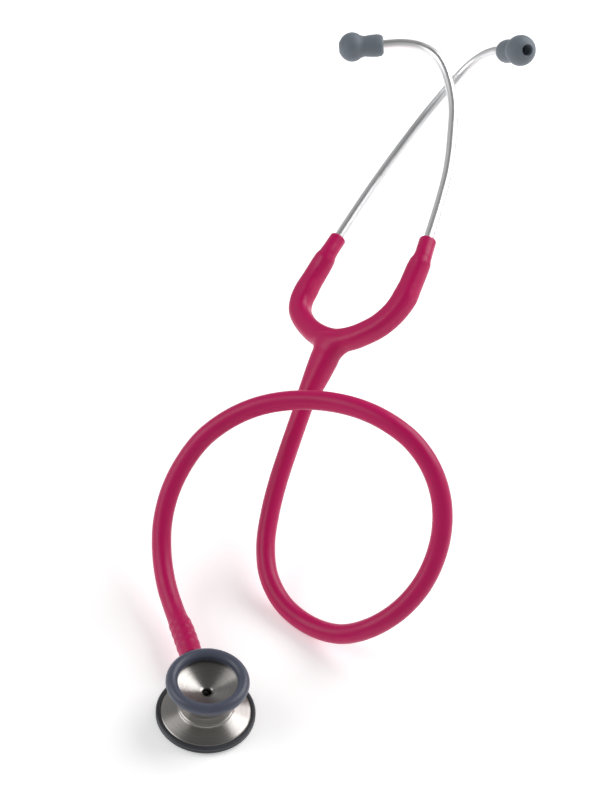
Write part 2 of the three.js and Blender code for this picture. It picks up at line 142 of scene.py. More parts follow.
def smooth_line(points, per_span=16):
    """A centripetal Catmull-Rom line through points, the same curve as the CAD model's."""
    given = [np.asarray(p, float) for p in points]
    given = [2 * given[0] - given[1], *given, 2 * given[-1] - given[-2]]
    t = np.linspace(0, 1, per_span, endpoint=False)[:, None]
    parts = []
    for p0, p1, p2, p3 in zip(given, given[1:], given[2:], given[3:]):
        d0, d1, d2 = (math.sqrt(np.linalg.norm(b - a)) for a, b in ((p0, p1), (p1, p2), (p2, p3)))
        m1 = ((p1 - p0) / d0 - (p2 - p0) / (d0 + d1) + (p2 - p1) / d1) * d1
        m2 = ((p2 - p1) / d1 - (p3 - p1) / (d1 + d2) + (p3 - p2) / d2) * d1
        parts.append((2 * t**3 - 3 * t**2 + 1) * p1 + (t**3 - 2 * t**2 + t) * m1
                     + (3 * t**2 - 2 * t**3) * p2 + (t**3 - t**2) * m2)
    return np.vstack([*parts, given[-2][None]])


def lengths(line):
    steps = np.linalg.norm(np.diff(line, axis=0), axis=1)
    return np.concatenate([[0], np.cumsum(steps)])


def unit_rows(rows):
    return rows / np.linalg.norm(rows, axis=1)[:, None]


def at_even_steps(line, step):
    along = lengths(line)
    wanted = np.linspace(0, along[-1], int(along[-1] / step) + 1)
    return np.stack([np.interp(wanted, along, line[:, k]) for k in range(3)], axis=1)


def moving_frames(line):
    """Tangents and two normals along a line, turned as little as possible from point to point."""
    tangents = np.gradient(line, axis=0)
    tangents /= np.linalg.norm(tangents, axis=1)[:, None]
    normal = unit(SKEW - tangents[0] * np.dot(SKEW, tangents[0]))
    normals = []
    for tangent in tangents:
        normal = unit(normal - tangent * np.dot(normal, tangent))
        normals.append(normal)
    normals = np.array(normals)
    return tangents, normals, np.cross(tangents, normals)


def rounded(corners, steps=4):
    """A closed profile of (along, radius, fillet) corners, with every corner rounded off."""
    points = np.array([corner[:2] for corner in corners], float)
    result = []
    fillets = [corner[2] for corner in corners]
    around = zip(points, np.roll(points, 1, axis=0), np.roll(points, -1, axis=0), fillets)
    for corner, before, after, fillet in around:
        if fillet <= 0:
            result.append(corner)
            continue
        back, ahead = before - corner, after - corner
        back_length, ahead_length = np.linalg.norm(back), np.linalg.norm(ahead)
        back, ahead = back / back_length, ahead / ahead_length
        half = math.acos(np.clip(np.dot(back, ahead), -1, 1)) / 2
        reach = min(fillet / math.tan(half), FILLET_SHARE * back_length, FILLET_SHARE * ahead_length)
        result.append(corner + back * reach * FILLET_LEAD)
        for step in range(steps + 1):
            k = step / steps
            result.append((1 - k)**2 * (corner + back * reach) + 2 * k * (1 - k) * corner
                          + k * k * (corner + ahead * reach))
        result.append(corner + ahead * reach * FILLET_LEAD)
    return [tuple(p) for p in result]


def mesh_piece(name, vertices, faces):
    mesh = bpy.data.meshes.new(name)
    mesh.from_pydata([tuple(v) for v in vertices], [], faces)
    mesh.validate()
    mesh.shade_smooth()
    piece = bpy.data.objects.new(name, mesh)
    bpy.context.scene.collection.objects.link(piece)
    return piece


def spin(name, line, stations, sides, closed=True):
    """Carry stations of (distance along the line, radius), in metres, round a line.

    A closed profile makes a ring or a hollow piece. An open one starts and ends on the line.
    """
    line = np.asarray(line, float)
    along = lengths(line)
    tangents, normals, others = moving_frames(line)
    turn = np.linspace(0, 2 * math.pi, sides, endpoint=False)
    vertices, rings = [], []
    for distance, radius in stations:
        inside = min(max(distance, 0), along[-1])
        centre, tangent, normal, other = (
            np.array([np.interp(inside, along, rows[:, k]) for k in range(3)])
            for rows in (line, tangents, normals, others))
        centre = centre + tangent * (distance - inside)
        first = len(vertices)
        if radius < 1e-7:
            vertices.append(centre)
            rings.append([first] * sides)
            continue
        vertices.extend(centre + radius * (math.cos(a) * normal + math.sin(a) * other) for a in turn)
        rings.append(list(range(first, first + sides)))
    pairs = list(zip(rings, rings[1:]))
    if closed:
        pairs.append((rings[-1], rings[0]))
    faces = []
    for low, high in pairs:
        for i in range(sides):
            j = (i + 1) % sides
            corners = [low[i], low[j], high[j], high[i]]
            face = [c for k, c in enumerate(corners) if c != corners[k - 1]]
            if len(face) > 2:
                faces.append(face)
    piece = mesh_piece(name, vertices, faces)
    face_outwards(piece)
    return piece


def face_outwards(piece):
    """Turn all faces outwards, judged by the signed volume that they enclose."""
    shape = bmesh.new()
    shape.from_mesh(piece.data)
    if shape.calc_volume(signed=True) < 0:
        bmesh.ops.reverse_faces(shape, faces=shape.faces)
        shape.to_mesh(piece.data)
    shape.free()


def straight(place, direction, length):
    """A straight line from a place, as two points."""
    return np.array([place, np.asarray(place) + np.asarray(direction) * length])


def scaled(profile):
    return [(along * MM, radius * MM) for along, radius in profile]


def turned(name, place, direction, corners, sides, closed=True):
    """A lathe-turned piece: a profile of (along, radius, fillet), in millimetres, about an axis."""
    return spin(name, straight(place, direction, 60 * MM), scaled(rounded(corners)), sides, closed)


def baked(piece, *modifiers):
    """Apply modifiers, given as (type, {setting: value}), to a piece's mesh."""
    for kind, settings in modifiers:
        modifier = piece.modifiers.new(kind, kind)
        for key, value in settings.items():
            setattr(modifier, key, value)
    bpy.context.view_layer.update()
    graph = bpy.context.evaluated_depsgraph_get()
    mesh = bpy.data.meshes.new_from_object(piece.evaluated_get(graph))
    old = piece.data
    piece.modifiers.clear()
    piece.data = mesh
    bpy.data.meshes.remove(old)
    return piece


def cut(piece, *cutters):
    """Cut other pieces away and remove them."""
    for cutter in cutters:
        baked(piece, ("BOOLEAN", {"operation": "DIFFERENCE", "solver": "EXACT", "object": cutter}))
        bpy.data.objects.remove(cutter)
    piece.data.shade_smooth()
    piece.data.set_sharp_from_angle(angle=math.radians(32))
    return piece


def finished(piece, slot, material, *nodes):
    """Give a piece its finish, and let it stand in for CAD nodes."""
    piece.data.materials.clear()
    piece.data.materials.append(material)
    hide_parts(*nodes)


def placed(piece, body, slot, material, *nodes):
    """Let a finished piece ride on its body."""
    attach(piece, body)
    finished(piece, slot, material, *nodes)


# ---------------------------------------------------------------- materials


class Shader:
    """A Principled material that detail nodes are added to, with object coordinates."""

    def __init__(self, name, colour, roughness, metallic=0.0, **constants):
        self.material = bpy.data.materials.new(name)
        self.material.use_nodes = True
        self.tree = self.material.node_tree
        self.body = self.tree.nodes["Principled BSDF"]
        self.set("Base Color", (*colour, 1))
        self.set("Roughness", roughness)
        self.set("Metallic", metallic)
        for socket, value in constants.items():
            self.set(socket.replace("_", " "), value)
        self.coordinates = self.node("ShaderNodeTexCoord").outputs["Object"]
        self.height = None

    def set(self, socket, value):
        self.body.inputs[socket].default_value = value

    def node(self, kind, settings=None, **inputs):
        made = self.tree.nodes.new(kind)
        for key, value in (settings or {}).items():
            setattr(made, key, value)
        for socket, value in inputs.items():
            self.feed(made.inputs[socket.replace("_", " ")], value)
        return made

    def feed(self, socket, value):
        if isinstance(value, bpy.types.NodeSocket):
            self.tree.links.new(value, socket)
        else:
            socket.default_value = value

    def noise(self, scale, detail=3.0, roughness=0.55, where=None):
        made = self.node("ShaderNodeTexNoise", Scale=scale, Detail=detail, Roughness=roughness)
        self.feed(made.inputs["Vector"], self.coordinates if where is None else where)
        return made.outputs["Fac"]

    def spread(self, value, low, high):
        """Map the usual span of a noise value, 0.3 to 0.7, to a range."""
        made = self.node("ShaderNodeMapRange", Value=value, From_Min=0.3, From_Max=0.7, To_Min=low,
                         To_Max=high)
        return made.outputs["Result"]

    def tint(self, value, low, high):
        """Mix two colours by a noise value and use them as the base colour."""
        made = self.node("ShaderNodeMix", {"data_type": "RGBA"}, Factor=value, A=(*low, 1), B=(*high, 1))
        self.feed(self.body.inputs["Base Color"], made.outputs["Result"])

    def rough(self, value, low, high):
        self.feed(self.body.inputs["Roughness"], self.spread(value, low, high))

    def bump(self, value, depth):
        """Add a bump of a depth in metres on top of those there already."""
        made = self.node("ShaderNodeBump", Height=value, Strength=1.0, Distance=depth)
        if self.height is not None:
            self.feed(made.inputs["Normal"], self.height)
        self.height = made.outputs["Normal"]
        self.feed(self.body.inputs["Normal"], self.height)

    def vector_math(self, operation, output, *values):
        made = self.node("ShaderNodeVectorMath", {"operation": operation})
        for socket, value in zip(made.inputs, values):
            self.feed(socket, value)
        return made.outputs[output]

    def ring_coordinates(self, place, axis):
        """Coordinates (distance from an axis, distance along it, 0) for turned marks."""
        offset = self.vector_math("SUBTRACT", "Vector", self.coordinates, tuple(place))
        height = self.vector_math("DOT_PRODUCT", "Value", offset, tuple(axis))
        radial = self.vector_math("CROSS_PRODUCT", "Vector", offset, tuple(axis))
        radius = self.vector_math("LENGTH", "Value", radial)
        return self.node("ShaderNodeCombineXYZ", X=radius, Y=height).outputs["Vector"]


def vinyl():
    """Soft semi-gloss crimson PVC: faint clouding, a satin skin and a very fine orange peel."""
    shader = Shader("crimson_vinyl", (0.44, 0.003, 0.078), 0.36, IOR=1.45, Specular_IOR_Level=0.34,
                    Coat_Weight=0.06, Coat_Roughness=0.13, Sheen_Weight=0.02, Sheen_Roughness=0.35,
                    Sheen_Tint=(0.55, 0.4, 0.95, 1))
    shader.tint(shader.noise(38, 4), (0.44, 0.001, 0.082), (0.52, 0.002, 0.104))
    shader.rough(shader.noise(160, 4), 0.35, 0.44)
    shader.bump(shader.noise(95, 2), 0.00006)
    shader.bump(shader.noise(2600, 2), 0.000006)
    return shader.material


def chrome():
    """Bright plating with faint drawn lines and handling marks."""
    shader = Shader("chrome", (0.86, 0.86, 0.87), 0.33, 1.0)
    shader.tint(shader.noise(45, 3), (0.82, 0.82, 0.83), (0.9, 0.9, 0.905))
    shader.rough(shader.noise(420, 5, 0.7), 0.29, 0.38)
    shader.bump(shader.noise(240, 2), 0.000012)
    return shader.material


def brushed_steel(name, place, axis, anisotropy):
    """Steel turned on a lathe: fine rings about the piece's own axis."""
    low, high = (0.31, 0.295, 0.28), (0.42, 0.405, 0.39)
    shader = Shader(name, low, 0.3, 1.0, Anisotropic=anisotropy, Anisotropic_Rotation=0.25)
    rings = shader.ring_coordinates(place, axis)
    fine = shader.noise(9000, 4, 0.7, rings)
    shader.tint(shader.noise(2600, 3, 0.6, rings), low, high)
    shader.rough(fine, 0.24, 0.37)
    shader.bump(fine, 0.0000022)
    shader.bump(shader.noise(60, 2), 0.00002)
    tangent = shader.node("ShaderNodeTangent", {"direction_type": "RADIAL", "axis": "Z"})
    shader.feed(shader.body.inputs["Tangent"], tangent.outputs["Tangent"])
    return shader.material


def plain_metal(name, low, high, roughness):
    """Machined metal without a marked direction, with light stains."""
    shader = Shader(name, low, roughness, 1.0)
    shader.tint(shader.noise(180, 5, 0.65), low, high)
    shader.rough(shader.noise(900, 4, 0.7), roughness * 0.75, roughness * 1.3)
    shader.bump(shader.noise(3200, 3), 0.000004)
    return shader.material


def soft_rubber(name, low, high, rough_low, rough_high, grain, sheen):
    """Moulded rubber or silicone: matte, slightly dusty, with a fine moulded grain."""
    shader = Shader(name, low, rough_low, IOR=1.43, Sheen_Weight=sheen, Sheen_Roughness=0.45,
                    Sheen_Tint=(0.75, 0.8, 0.9, 1))
    shader.tint(shader.noise(120, 5, 0.65), low, high)
    shader.rough(shader.noise(700, 4), rough_low, rough_high)
    shader.bump(shader.noise(150, 2), 0.00004)
    shader.bump(shader.noise(4200, 3), grain)
    return shader.material


def resin():
    """Glass-filled resin sheet with a woven grain just under its surface."""
    shader = Shader("diaphragm_resin", (0.55, 0.52, 0.44), 0.35, IOR=1.54, Coat_Weight=0.2,
                    Coat_Roughness=0.15)
    weave = shader.node("ShaderNodeMath", {"operation": "MULTIPLY"})
    for socket, direction in zip(weave.inputs, ("X", "Y")):
        threads = shader.node("ShaderNodeTexWave", {"bands_direction": direction}, Scale=420.0,
                              Distortion=0.6, Vector=shader.coordinates)
        shader.feed(socket, threads.outputs["Fac"])
    shader.tint(weave.outputs["Value"], (0.47, 0.44, 0.37), (0.6, 0.57, 0.49))
    shader.rough(shader.noise(500, 4), 0.3, 0.42)
    shader.bump(weave.outputs["Value"], 0.000012)
    return shader.material


CRIMSON = vinyl()
CHROME = chrome()
HEAD_STEEL = brushed_steel("brushed_steel", HEAD_FOOT, UP, 0.85)
STEM_STEEL = brushed_steel("stem_steel", STEM_PLACE, STEM_AXIS, 0.3)
SPRING_STEEL = plain_metal("spring_steel", (0.26, 0.27, 0.3), (0.38, 0.39, 0.42), 0.3)
BRASS = plain_metal("brass", (0.52, 0.36, 0.15), (0.66, 0.48, 0.22), 0.28)
EAR_SILICONE = soft_rubber("ear_silicone", (0.115, 0.135, 0.16), (0.155, 0.18, 0.21),
                           0.5, 0.62, 0.000008, 0.2)
SLATE = soft_rubber("slate_rubber", (0.060, 0.069, 0.100), (0.084, 0.095, 0.134),
                    0.27, 0.38, 0.000004, 0.1)
CHARCOAL = soft_rubber("charcoal_rubber", (0.034, 0.036, 0.042), (0.05, 0.053, 0.062),
                       0.27, 0.38, 0.000004, 0.08)
RESIN = resin()

# ---------------------------------------------------------------- tubing

TUBING_RADIUS = 4.6 * MM
TUBING_BORE = 2.4 * MM
TUBING_START = 24 * MM           # where the tubing ends, measured along the stem
RIPPLES = [31 * MM, 35.5 * MM, 40.2 * MM, 44.6 * MM]    # where the stem's barbs stretch it
RIPPLE_HEIGHT = 0.2 * MM
RIPPLE_WIDTH = 1.35 * MM
STRETCH = 0.62 * MM              # how much wider the tubing is over the stem
STRETCH_END = 46.5 * MM          # where it has half narrowed again past the stem's end
STRETCH_EASE = 1.5 * MM
RIPPLED_LENGTH = 30 * MM         # the length at the stem that gets finer rings
RING_STEP = 1.2 * MM
FINE_RING_STEP = 0.45 * MM
LIP = 0.9 * MM                   # rounding of the tubing's end at the chestpiece
TUBING_ROUTE = [
    (-0.0143, -0.0288, -0.0236), (-0.0169, -0.0360, -0.0314), (-0.0203, -0.0460, -0.0422),
    (-0.0236, -0.0571, -0.0531), (-0.0258, -0.0691, -0.0637), (-0.0262, -0.0823, -0.0725),
    (-0.0230, -0.0960, -0.0794), (-0.0148, -0.1085, -0.0841), (-0.0023, -0.1193, -0.0848),
    (0.0122, -0.1288, -0.0791), (0.0250, -0.1327, -0.0692), (0.0364, -0.1311, -0.0587),
    (0.0451, -0.1257, -0.0480), (0.0504, -0.1183, -0.0369), (0.0523, -0.1104, -0.0248),
    (0.0504, -0.1020, -0.0133), (0.0447, -0.0932, -0.0038), (0.0356, -0.0845, 0.0030),
    (0.0237, -0.0765, 0.0064), (0.0102, -0.0686, 0.0063), (-0.0055, -0.0616, 0.0031),
    (-0.0216, -0.0576, -0.0018), (-0.0364, -0.0568, -0.0079), (-0.0495, -0.0585, -0.0160),
    (-0.0608, -0.0631, -0.0256), (-0.0688, -0.0697, -0.0368), (-0.0739, -0.0786, -0.0478),
    (-0.0757, -0.0890, -0.0585), (-0.0741, -0.1008, -0.0678), (-0.0700, -0.1137, -0.0745),
    (-0.0644, -0.1263, -0.0780),
]


def tubing_line():
    """The centre line, from the stem of the yoke to where the tubing ends on the chestpiece's stem."""
    on_stem = [STEM_PLACE + STEM_AXIS * distance for distance in (40 * MM, 32 * MM, TUBING_START)]
    return smooth_line([*TUBING_ROUTE, *on_stem])


def tubing_radius(from_stem):
    """Outer radius at a distance along the stem: stretched and rippled over the barbs."""
    over_stem = 1 / (1 + math.exp((from_stem - STRETCH_END) / STRETCH_EASE))
    ripples = sum(math.exp(-((from_stem - at) / RIPPLE_WIDTH) ** 2) for at in RIPPLES)
    return TUBING_RADIUS + over_stem * STRETCH + RIPPLE_HEIGHT * ripples


def make_tubing():
    line = tubing_line()
    total = lengths(line)[-1]
    fine_from = total - RIPPLED_LENGTH
    along = [*np.arange(0.5 * MM, fine_from, RING_STEP),
             *np.arange(fine_from, total - LIP, FINE_RING_STEP)]
    start = [(0.1 * MM, TUBING_BORE + 0.3 * MM), (0.1 * MM, TUBING_RADIUS - 0.3 * MM),
             (0.2 * MM, TUBING_RADIUS - 0.08 * MM)]
    outside = [(s, tubing_radius(TUBING_START + total - s)) for s in along]
    last = outside[-1][1]
    end = [(total - LIP + LIP * math.sin(a), last - LIP + LIP * math.cos(a))
           for a in np.linspace(0.1, math.pi / 2, 6)]
    bore = [(s, TUBING_BORE) for s in np.linspace(total - 0.1 * MM, 0.3 * MM, 200)]
    tube = spin("tubing_hose", line, [*start, *outside, *end, *bore], 40)
    placed(tube, "yoke_and_tube", "crimson_vinyl", CRIMSON, "tubing")


make_tubing()

# ---------------------------------------------------------------- ear tubes and what is on them

# All in millimetres.
EAR_TUBE_RADIUS = 2.6
EAR_TUBE_BORE = 1.8
EAR_TUBE_INSERT = 10             # how far the tube goes down into the arm
EAR_TUBE_TAIL = 7                # how far it goes on into the ear tip
CRIMP_GAP = 0.12                 # between the tube and a sleeve on it
# Place of each arm's mouth in the headset frame, with the pitch and the turn of its tube in degrees.
MOUTHS = {
    "left": ((-28.25, 0, 0.7), -1.8, 3.6),
    "right": ((28.25, 0, -0.7), 1.9, 3.6),
}
EAR_TUBE_ROUTE = [
    (0, 0, 0), (-2.5, 0, 21.8), (-5.9, -0.3, 43.4), (-11.3, -1.8, 64.8), (-18.1, -3.9, 85.8),
    (-28.8, -8.5, 104.9), (-35.7, -11.9, 111.7), (-43.6, -15.6, 114.4), (-52.4, -19.6, 113.4),
    (-63.9, -24.5, 108.3),
]


def mouth_points(side, points_mm):
    """Points of a mouth's frame, in millimetres, as places in the row frame."""
    place, pitch, swivel = MOUTHS[side]
    turn = Matrix.Rotation(math.radians(pitch), 3, "X") @ Matrix.Rotation(math.radians(swivel), 3, "Z")
    return [headset(np.array(turn @ Vector(p)) + np.array(place)) for p in points_mm]


def ear_tube_line(side):
    """The centre line of one ear tube. The two routes are mirrored."""
    mirror = -1 if side == "left" else 1
    route = [np.array((mirror * x, y, z), float) for x, y, z in EAR_TUBE_ROUTE]
    sampled = smooth_line(route, 64)
    root, tail = unit(sampled[0] - sampled[1]), unit(sampled[-1] - sampled[-2])
    points = [route[0] + root * d for d in (EAR_TUBE_INSERT, EAR_TUBE_INSERT / 2)]
    points += [*route, route[-1] + tail * EAR_TUBE_TAIL / 2, route[-1] + tail * EAR_TUBE_TAIL]
    return smooth_line(mouth_points(side, points))


def make_ear_tube(side):
    line = ear_tube_line(side)
    total = lengths(line)[-1] / MM
    along = np.linspace(0.3, total - 0.3, 210)
    outside = [(s, EAR_TUBE_RADIUS) for s in along]
    end = [(total - 0.08, EAR_TUBE_RADIUS - 0.1), (total, EAR_TUBE_RADIUS - 0.3),
           (total, EAR_TUBE_BORE + 0.15)]
    bore = [(s, EAR_TUBE_BORE) for s in along[::-1]]
    start = [(0, EAR_TUBE_BORE + 0.15), (0, EAR_TUBE_RADIUS - 0.3), (0.08, EAR_TUBE_RADIUS - 0.1)]
    tube = spin(f"chrome_tube_{side}", line, scaled([*outside, *end, *bore, *start]), 36)
    placed(tube, f"{side}_ear_tube", "chrome", CHROME, f"ear_tube_{side}")


def make_ferrule(side):
    """Crimped sleeve round the root of an ear tube, hidden in the arm."""
    place = joint_place(f"{side}_tube_swivel")
    axis = joint_axis(f"{side}_tube_swivel")
    inner = EAR_TUBE_RADIUS + CRIMP_GAP
    sleeve = turned(f"ferrule_{side}", place, axis, [
        (-9.5, inner, 0.1), (-9.5, 3.1, 0.15), (-9.1, 3.4, 0.2), (-7.6, 3.4, 0.2), (-7.2, 3.15, 0.2),
        (-6.4, 3.15, 0.2), (-6, 3.4, 0.2), (-4.4, 3.4, 0.2), (-4, 3.1, 0.15), (-4, inner, 0.1),
    ], 48)
    placed(sleeve, f"{side}_ear_tube", "brass", BRASS, f"spring_ferrule_{side}")


def make_nipple(side):
    """Barbed sleeve near the end of an ear tube, which the soft tip snaps over."""
    place = joint_place(f"{side}_tip_turn")
    axis = joint_axis(f"{side}_tip_turn")
    inner = EAR_TUBE_RADIUS + CRIMP_GAP
    sleeve = turned(f"nipple_{side}", place, axis, [
        (1, inner, 0.1), (1, 3.4, 0.2), (2.4, 3.4, 0.2), (2.6, 3.95, 0.12), (4.6, 3.5, 0.15),
        (4.6, 3.3, 0.1), (6.6, 3.3, 0.2), (6.6, inner, 0.1),
    ], 48)
    placed(sleeve, f"{side}_ear_tube", "brass", BRASS, f"tip_nipple_{side}")


def make_ear_tip(side):
    """Soft tip: a cuff, a waist and a mushroom head with a flared sound hole."""
    lip = EAR_TUBE_RADIUS + 0.08
    ball_radius, ball_height, ball_at = 7.7, 7.2, 14.3
    head = [(ball_at + ball_height * math.sin(a), ball_radius * math.cos(a), 0)
            for a in np.radians(np.linspace(-38, 66, 22))]
    profile = rounded([
        (-2.5, lip, 0.3), (-2.5, 4.3, 1.5), (-1.5, 5.5, 1.5), (0.8, 5.95, 2.5), (4.4, 5.8, 3), (7.9, 5.35, 3),
        *head,
        (21.2, 3.0, 0.5), (19.9, 2.6, 0.8), (16.5, 2.4, 0.6), (15.5, 1.75, 0.4), (8.6, 1.75, 0.3),
        (7.6, 4.2, 0.3), (0.4, 4.2, 0.3), (0, lip, 0.3),
    ], 6)
    place = joint_place(f"{side}_tip_turn")
    axis = joint_axis(f"{side}_tip_turn")
    tip = spin(f"soft_tip_{side}", straight(place, axis, 60 * MM), scaled(profile), 72)
    placed(tip, f"{side}_ear_tip", "ear_silicone", EAR_SILICONE, f"ear_tip_{side}")


for side in ("left", "right"):
    make_ear_tube(side)
    make_ferrule(side)
    make_nipple(side)
    make_ear_tip(side)

# ---------------------------------------------------------------- yoke, one moulding in three pieces

# All in millimetres in the headset frame.
FORK_ROUTE = [
    (-35.6, 3.6, -30), (-36.2, 4.4, -36.8), (-34.4, 5.1, -43.2), (-28, 6, -50), (-18.2, 6.7, -55.8),
    (-6, 7.1, -58.9), (3, 6.9, -57.6), (10.5, 6.5, -54.4), (18.2, 5.9, -49.2), (23.8, 5.1, -42),
    (26.6, 4.2, -35.2), (27.5, 3.5, -29.4),
]
ARM_BENDS = {"left": (-33.2, 2.3, -19), "right": (28.3, 2, -18)}
NECK_LENGTH = 10.5
PAST_MOUTH = 4                   # how far the fork's line runs on past a mouth
STEM_TOP = (-7, 7.1, -58.8)
VOXEL = 0.72                     # size of the yoke's surface mesh
FILLET = 4.2                     # how softly the fork and the stem flow together
END_DOME = 0.3                   # height of a limb's end, as a share of its half width
MOUTH_ROUNDING = 1.1
FOOT_ROUNDING = 0.3              # of the stem's end, where the tubing goes on
ARM_CUT = -44.0                  # height in the headset frame at which the arms are split off

# Half width in the fork's plane, half thickness across it, and squareness of the section, by
# distance from the nearer mouth.
ARM_SECTIONS = [
    (0, 4.3, 4.3, 2.0), (8.5, 4.35, 4.35, 2.0), (11, 4.55, 4.5, 2.05), (13.5, 5.3, 5.1, 2.2),
    (17, 5.45, 5.2, 2.4), (27, 5.4, 5.3, 2.6), (33, 5.85, 5.4, 2.8), (42, 5.45, 5.4, 2.8),
    (60, 5.35, 5.4, 2.7), (90, 5.7, 5.5, 2.7), (120, 5.8, 5.5, 2.7),
]
# The same for the stem, by distance from its top.
STEM_SECTIONS = [
    (0, 6.0, 5.2, 2.2), (5, 7.3, 6.0, 2.4), (11, 7.0, 6.2, 2.5), (18, 6.3, 6.0, 2.5), (28, 5.4, 5.4, 2.3),
    (36, 4.8, 4.8, 2.1), (44, 4.6, 4.6, 2.0), (60, 4.6, 4.6, 2.0),
]


def to_headset(points):
    """Places in the row frame as millimetres in the headset frame."""
    axes = np.array([HEADSET_X, HEADSET_Y, HEADSET_Z])
    return (np.asarray(points) - HEADSET_PLACE) @ axes.T / MM


def root_line(side):
    """Mouth place and upward direction of an arm, in the headset frame."""
    mouth = to_headset([joint_place(f"{side}_tube_swivel")])[0]
    axes = np.array([HEADSET_X, HEADSET_Y, HEADSET_Z])
    return mouth, axes @ joint_axis(f"{side}_tube_swivel")


class Limb:
    """A limb of the moulding: a centre line with a section that is an oval to a rounded square."""

    def __init__(self, line, sections, distances):
        self.line = line
        table = np.array(sections, float)
        self.section = np.stack([np.interp(distances, table[:, 0], table[:, k]) for k in (1, 2, 3)], axis=1)
        self.tangents = unit_rows(np.gradient(line, axis=0))
        self.across = unit_rows(np.cross(np.array([0.0, 1.0, 0.0]), self.tangents))
        self.through = np.cross(self.tangents, self.across)

    def distance(self, points):
        """How far points are outside the limb, in millimetres and roughly."""
        nearest = nearest_index(points, self.line)
        offset = points - self.line[nearest]
        tangent = self.tangents[nearest]
        slide = (offset * tangent).sum(1)
        offset = offset - slide[:, None] * tangent
        step = np.linalg.norm(self.line[1] - self.line[0])
        unclipped = nearest + slide / step
        at = np.clip(unclipped, 0, len(self.line) - 1)
        past_end = np.abs(unclipped - at) * step
        low = np.floor(at).astype(int)
        high = np.minimum(low + 1, len(self.line) - 1)
        part = (at - low)[:, None]
        across, through, section = (
            (1 - part) * rows[low] + part * rows[high] for rows in (self.across, self.through, self.section))
        a = np.abs((offset * across).sum(1)) / section[:, 0]
        b = np.abs((offset * through).sum(1)) / section[:, 1]
        c = past_end / (END_DOME * section[:, 0])
        power = section[:, 2]
        reach = (a**power + b**power + c**power + 1e-12) ** (1 / power)
        return (reach - 1) * np.minimum(section[:, 0], section[:, 1])


def nearest_index(points, line):
    """Index of the nearest point of a line to each of the points."""
    squares = (line**2).sum(1)[None] - 2 * points @ line.T
    return squares.argmin(1)


def blended_least(a, b, softness):
    """The smaller of two distances, with a soft change from one to the other."""
    share = np.clip(0.5 + 0.5 * (b - a) / softness, 0, 1)
    return b * (1 - share) + a * share - softness * share * (1 - share)


def fork_limb():
    left, right = (
        [mouth + up * PAST_MOUTH, mouth, mouth - up * NECK_LENGTH / 2, mouth - up * (NECK_LENGTH - 0.5),
         np.array(ARM_BENDS[side], float)]
        for side, (mouth, up) in ((side, root_line(side)) for side in ("left", "right")))
    line = at_even_steps(smooth_line([*left, *FORK_ROUTE, *right[::-1]], 24), 0.5)
    along = lengths(line)
    from_mouth = np.minimum(along, along[-1] - along) - PAST_MOUTH
    return Limb(line, ARM_SECTIONS, from_mouth)


def stem_foot():
    """Where the stem of the yoke ends, and a step on from there along the tubing."""
    foot, next_point = (to_headset([place])[0] for place in TUBING_ROUTE[:2])
    return foot, next_point - foot


def stem_limb():
    top = np.array(STEM_TOP, float)
    foot, onward = stem_foot()
    line = smooth_line([top, top + (foot - top) * 0.5, foot, foot + onward * 0.6], 40)
    line = at_even_steps(line, 0.5)
    return Limb(line, STEM_SECTIONS, lengths(line))


def cut_flat(whole, beyond, rounding, where):
    """Cut a shape off, where asked, at the plane that points are a distance beyond."""
    return np.where(where, -blended_least(-whole, -beyond, rounding), whole)


def yoke_distance(fork, stem):
    """A function that says how far points in the headset frame are outside the moulding."""
    foot, onward = stem_foot()
    down = unit(onward)
    mouths = [root_line(side) for side in ("left", "right")]

    def distance(points):
        whole = blended_least(fork.distance(points), stem.distance(points), FILLET)
        across, height = points[:, 0], points[:, 2]
        for (mouth, up), on_this_side in zip(mouths, (across < -5, across > 5)):
            whole = cut_flat(whole, (points - mouth) @ up, MOUTH_ROUNDING, on_this_side & (height > -20))
        below_foot = (points - foot) @ down
        return cut_flat(whole, below_foot, FOOT_ROUNDING, (below_foot > -8) & (height < -60))

    return distance


def slope(distance, points, here):
    """Gradient of the distance, by small steps along the three axes."""
    small = 0.02
    return np.stack([(distance(points + small * axis) - here) / small for axis in np.eye(3)], axis=1)


def settle(points, distance, rounds):
    """Move points onto the surface where the distance is zero."""
    longest_step, least_slope = 0.8, 0.05
    for _ in range(rounds):
        here = distance(points)
        gradient = slope(distance, points, here)
        size = (gradient**2).sum(1)
        step = (here / np.maximum(size, least_slope))[:, None] * gradient
        length = np.linalg.norm(step, axis=1)[:, None]
        points = points - step * np.minimum(1, longest_step / np.maximum(length, 1e-9))
    return points


def rough_limb(limb, name):
    """A plain tube round a limb, to start the surface mesh from."""
    along = lengths(limb.line)
    radii = limb.section[:, :2].mean(1)
    stations = [(along[0], 0.0)]
    stations += [(s, r) for s, r in zip(along[::3], radii[::3])]
    stations += [(along[-1], radii[-1]), (along[-1], 0.0)]
    return spin(name, limb.line, stations, 20, closed=False)


def yoke_surface():
    """Vertices and faces of the whole moulding, and its distance function, in millimetres."""
    fork, stem = fork_limb(), stem_limb()
    distance = yoke_distance(fork, stem)
    rough = rough_limb(fork, "rough_fork")
    second = rough_limb(stem, "rough_stem")
    baked(rough, ("BOOLEAN", {"operation": "UNION", "solver": "EXACT", "object": second}),
          ("REMESH", {"mode": "VOXEL", "voxel_size": VOXEL}))
    bpy.data.objects.remove(second)
    mesh = rough.data
    points = np.array([v.co for v in mesh.vertices], float)
    faces = [tuple(p.vertices) for p in mesh.polygons]
    edges = np.array([e.vertices for e in mesh.edges])
    bpy.data.objects.remove(rough)
    points = settle(points, distance, 4)
    count = np.bincount(edges.ravel(), minlength=len(points))[:, None]
    for _ in range(6):           # even out the mesh, and settle it again each time
        total = np.zeros_like(points)
        np.add.at(total, edges[:, 0], points[edges[:, 1]])
        np.add.at(total, edges[:, 1], points[edges[:, 0]])
        points = 0.4 * points + 0.6 * total / count
        points = settle(points, distance, 1)
    return settle(points, distance, 2), faces, distance


